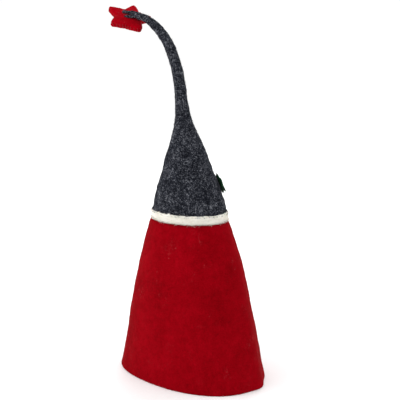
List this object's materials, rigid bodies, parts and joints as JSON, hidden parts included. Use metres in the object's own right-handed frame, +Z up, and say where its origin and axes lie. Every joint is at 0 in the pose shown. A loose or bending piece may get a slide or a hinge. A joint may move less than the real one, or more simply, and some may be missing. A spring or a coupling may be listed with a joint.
{
  "type": "felt tomte figurine",
  "caption": "Free-standing stuffed felt gnome with a flared dress, pointed hat and a bendable wired tail that carries a padded star.",
  "frame": {"origin": "middle of the flat felt sole, where the figure stands", "axes": "+Z up along the figure; the face looks along -Y; +X is the wearer's left, the side the tail leans to"},
  "size_m": [0.192, 0.1192, 0.3785],
  "materials": {
    "red_felt": "short-nap wool felt, matt",
    "grey_felt": "heather wool felt, matt",
    "cream_wool": "loose wool roving, matt",
    "green_felt": "craft felt, matt",
    "skin_felt": "needle-felted wool, matt",
    "white_wool": "long curled wool locks, matt",
    "berry_red": "felted wool, matt",
    "star_red": "wool felt, matt",
    "stuffing": "polyester fibre, matt",
    "cotton": "plain-weave cotton, matt",
    "pellets": "small pellets, matt",
    "card": "grey-brown card, matt",
    "thread_red": "cotton thread",
    "thread_dark": "cotton thread",
    "thread_pale": "cotton thread",
    "thread_green": "cotton thread",
    "wire": "soft drawn wire"
  },
  "bodies": {
    "figure": {"dress_shell": "red_felt", "base_felt": "red_felt", "base_card": "card", "base_stitches": "thread_red", "ballast_bag": "cotton", "ballast_fill": "pellets", "body_stuffing": "stuffing", "hat_cone": "grey_felt", "hat_stuffing": "stuffing", "brim_trim": "cream_wool", "hat_seam_stitches": "thread_dark", "hat_wire": "wire", "holly_leaf_right": "green_felt", "holly_leaf_left": "green_felt", "berries": "berry_red", "sprig_stitches": "thread_green", "nose": "skin_felt", "nose_thread": "thread_pale", "beard": "white_wool", "beard_stitches": "thread_pale"},
    "tail_root": {"tail_felt_root": "grey_felt", "tail_wire_root": "wire"},
    "tail_lower": {"tail_felt_lower": "grey_felt", "tail_wire_lower": "wire"},
    "tail_middle": {"tail_felt_middle": "grey_felt", "tail_wire_middle": "wire"},
    "tail_tip": {"tail_felt_tip": "grey_felt", "tail_wire_tip": "wire", "star_upper": "star_red", "star_under": "star_red", "star_filling": "stuffing", "star_stitches": "thread_red"}
  },
  "joints": [
    {"name": "tail_lean", "type": "hinge", "parent": "figure", "child": "tail_root", "pos_m": [0.01338, 0, 0.2989], "axis": [1, 0, 0], "range_deg": [-30, 30]},
    {"name": "tail_bend_low", "type": "hinge", "parent": "tail_root", "child": "tail_lower", "pos_m": [0.0178, 0, 0.31893], "axis": [0, 1, 0], "range_deg": [-30, 30]},
    {"name": "tail_bend_mid", "type": "hinge", "parent": "tail_lower", "child": "tail_middle", "pos_m": [0.02846, 0, 0.342], "axis": [0, 1, 0], "range_deg": [-30, 30]},
    {"name": "tail_bend_high", "type": "hinge", "parent": "tail_middle", "child": "tail_tip", "pos_m": [0.04781, 0, 0.3613], "axis": [0, 1, 0], "range_deg": [-30, 30]}
  ]
}
